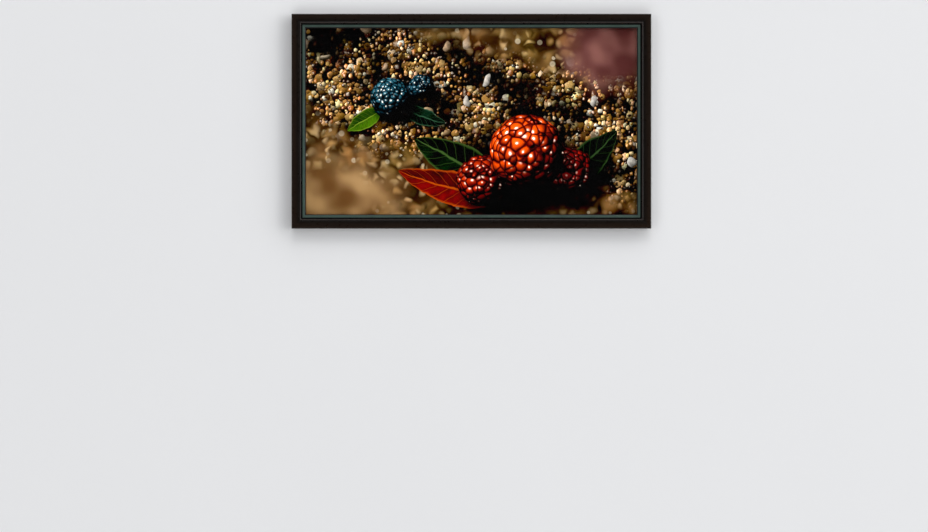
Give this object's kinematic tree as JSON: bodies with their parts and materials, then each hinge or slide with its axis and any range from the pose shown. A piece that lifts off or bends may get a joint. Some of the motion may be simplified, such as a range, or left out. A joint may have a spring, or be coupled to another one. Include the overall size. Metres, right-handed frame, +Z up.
{
  "type": "framed picture",
  "caption": "Large landscape print under clear acrylic in a dark stepped wooden frame with a narrow teal slip, held by steel points and hung from a Z-shaped bar.",
  "frame": {"origin": "on the wall, at the middle of the rear face of the hanging bar's lip", "axes": "+Y into the wall, -Y towards the room, +X to the viewer's right, +Z up"},
  "size_m": [1.389, 0.0435, 0.829],
  "materials": {
    "frame_wood": "dark espresso stain under satin lacquer, raw wood at the back",
    "slip_paint": "muted teal-green paint, dark step beside the print",
    "clear_acrylic": "clear low-reflection acrylic sheet",
    "print_paper": "satin photographic paper",
    "mount_board": "white-faced foam board",
    "backing_board": "brown hardboard",
    "point_steel": "thin spring steel",
    "bar_aluminium": "extruded, lightly brushed",
    "screw_steel": "bright zinc",
    "pad_rubber": "matt black"
  },
  "bodies": {
    "root": {"rail_top": "frame_wood", "rail_right": "frame_wood", "rail_bottom": "frame_wood", "rail_left": "frame_wood", "slip_top": "slip_paint", "slip_right": "slip_paint", "slip_bottom": "slip_paint", "slip_left": "slip_paint", "glazing": "clear_acrylic", "print": "print_paper", "mount_board": "mount_board", "backing_board": "backing_board", "point_top_1": "point_steel", "point_top_2": "point_steel", "point_top_3": "point_steel", "point_top_4": "point_steel", "point_top_5": "point_steel", "point_top_6": "point_steel", "point_right_1": "point_steel", "point_right_2": "point_steel", "point_right_3": "point_steel", "point_bottom_1": "point_steel", "point_bottom_2": "point_steel", "point_bottom_3": "point_steel", "point_bottom_4": "point_steel", "point_bottom_5": "point_steel", "point_bottom_6": "point_steel", "point_left_1": "point_steel", "point_left_2": "point_steel", "point_left_3": "point_steel", "hanging_bar": "bar_aluminium", "bar_screw_1": "screw_steel", "bar_screw_2": "screw_steel", "bar_screw_3": "screw_steel", "bar_screw_4": "screw_steel", "bar_screw_5": "screw_steel", "bar_screw_6": "screw_steel", "wall_pad_left": "pad_rubber", "wall_pad_right": "pad_rubber"}
  },
  "joints": []
}
